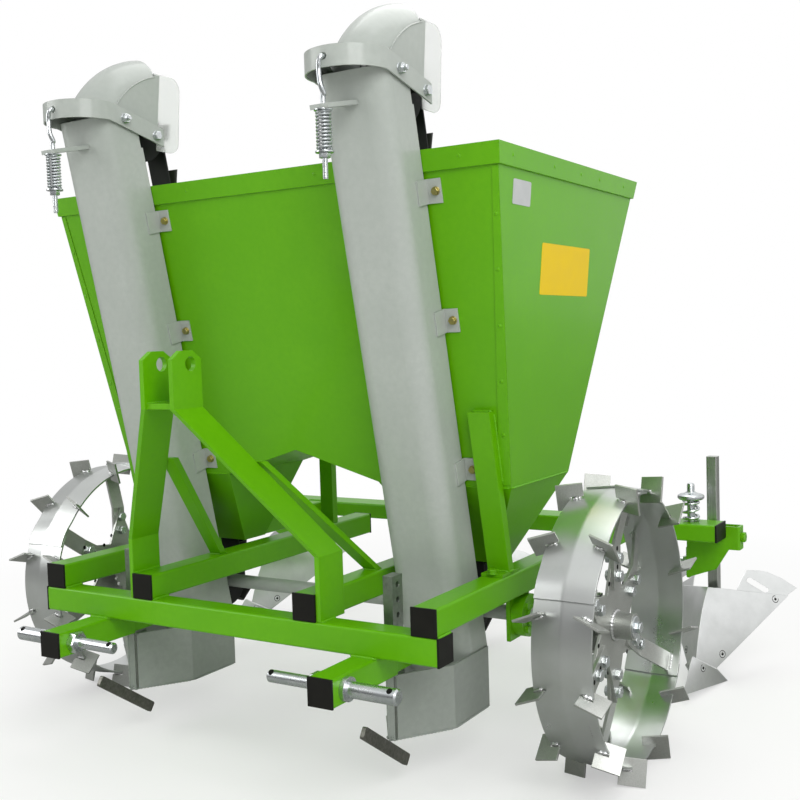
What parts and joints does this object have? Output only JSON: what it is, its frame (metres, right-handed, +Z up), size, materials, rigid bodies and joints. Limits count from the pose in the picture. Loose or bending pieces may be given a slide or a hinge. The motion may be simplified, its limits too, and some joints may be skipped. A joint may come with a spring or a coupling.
{
  "type": "two-row mounted potato planter",
  "caption": "Tractor-mounted potato planter with a V hopper, cup belts in front tubes, opener boots, rear ridgers and lugged steel drive wheels.",
  "frame": {"origin": "on the floor, below the middle of the bounding box", "axes": "+X across the machine to its right side as seen from the front, +Y rearwards, +Z up; the hitch faces -Y"},
  "size_m": [1.6282, 1.3036, 1.4329],
  "materials": {
    "green_paint": "gloss paint",
    "grey_paint": "satin grey paint",
    "bare_steel": "brushed, unpainted",
    "zinc_plate": "bright zinc plating",
    "black_plastic": "matt black",
    "belt_rubber": "woven belt",
    "clear_guard": "milky clear sheet"
  },
  "bodies": {
    "frame": {"beam_end_caps": "black_plastic", "belt_pulleys": "black_plastic", "cross_shaft": "grey_paint", "cup_belts": "belt_rubber", "depth_bars": "zinc_plate", "depth_clamps": "green_paint", "front_beam": "green_paint", "head_guards": "clear_guard", "headstock_braces": "green_paint", "headstock_spacer": "green_paint", "hopper_front_posts": "green_paint", "hopper_front_wall": "green_paint", "hopper_left_wall": "green_paint", "hopper_raised_floor": "green_paint", "hopper_rear_posts": "green_paint", "hopper_rear_wall": "green_paint", "hopper_right_wall": "green_paint", "hopper_rim": "green_paint", "left_funnel": "green_paint", "left_headstock_leg": "green_paint", "left_hitch_bracket": "green_paint", "left_hitch_pin": "zinc_plate", "left_inner_beam": "green_paint", "left_opener_boot": "grey_paint", "left_outer_beam": "green_paint", "left_seed_tube": "grey_paint", "left_tube_head": "grey_paint", "opener_knives": "grey_paint", "rear_beam": "green_paint", "ridger_holders": "green_paint", "ridger_mouldboards": "bare_steel", "ridger_shanks": "bare_steel", "ridger_shares": "bare_steel", "ridger_wings": "bare_steel", "right_funnel": "green_paint", "right_headstock_leg": "green_paint", "right_hitch_bracket": "green_paint", "right_hitch_pin": "zinc_plate", "right_inner_beam": "green_paint", "right_opener_boot": "grey_paint", "right_outer_beam": "green_paint", "right_seed_tube": "grey_paint", "right_tube_head": "grey_paint", "seed_cups": "black_plastic", "shaft_bearings": "green_paint", "tension_brackets": "grey_paint", "tension_rods": "zinc_plate", "tension_springs": "zinc_plate", "trip_rods": "zinc_plate", "trip_springs": "zinc_plate", "tube_clips": "grey_paint"},
    "left_wheel": {"left_wheel_rim": "bare_steel", "left_wheel_lugs": "bare_steel", "left_wheel_hub": "bare_steel", "left_wheel_spokes": "bare_steel"},
    "right_wheel": {"right_wheel_rim": "bare_steel", "right_wheel_lugs": "bare_steel", "right_wheel_hub": "bare_steel", "right_wheel_spokes": "bare_steel"}
  },
  "joints": [
    {"name": "left_wheel_spin", "type": "hinge", "parent": "frame", "child": "left_wheel", "pos_m": [-0.645, -0.13622, 0.27626], "axis": [1, 0, 0], "continuous": true},
    {"name": "right_wheel_spin", "type": "hinge", "parent": "frame", "child": "right_wheel", "pos_m": [0.645, -0.13622, 0.27626], "axis": [1, 0, 0], "continuous": true}
  ]
}
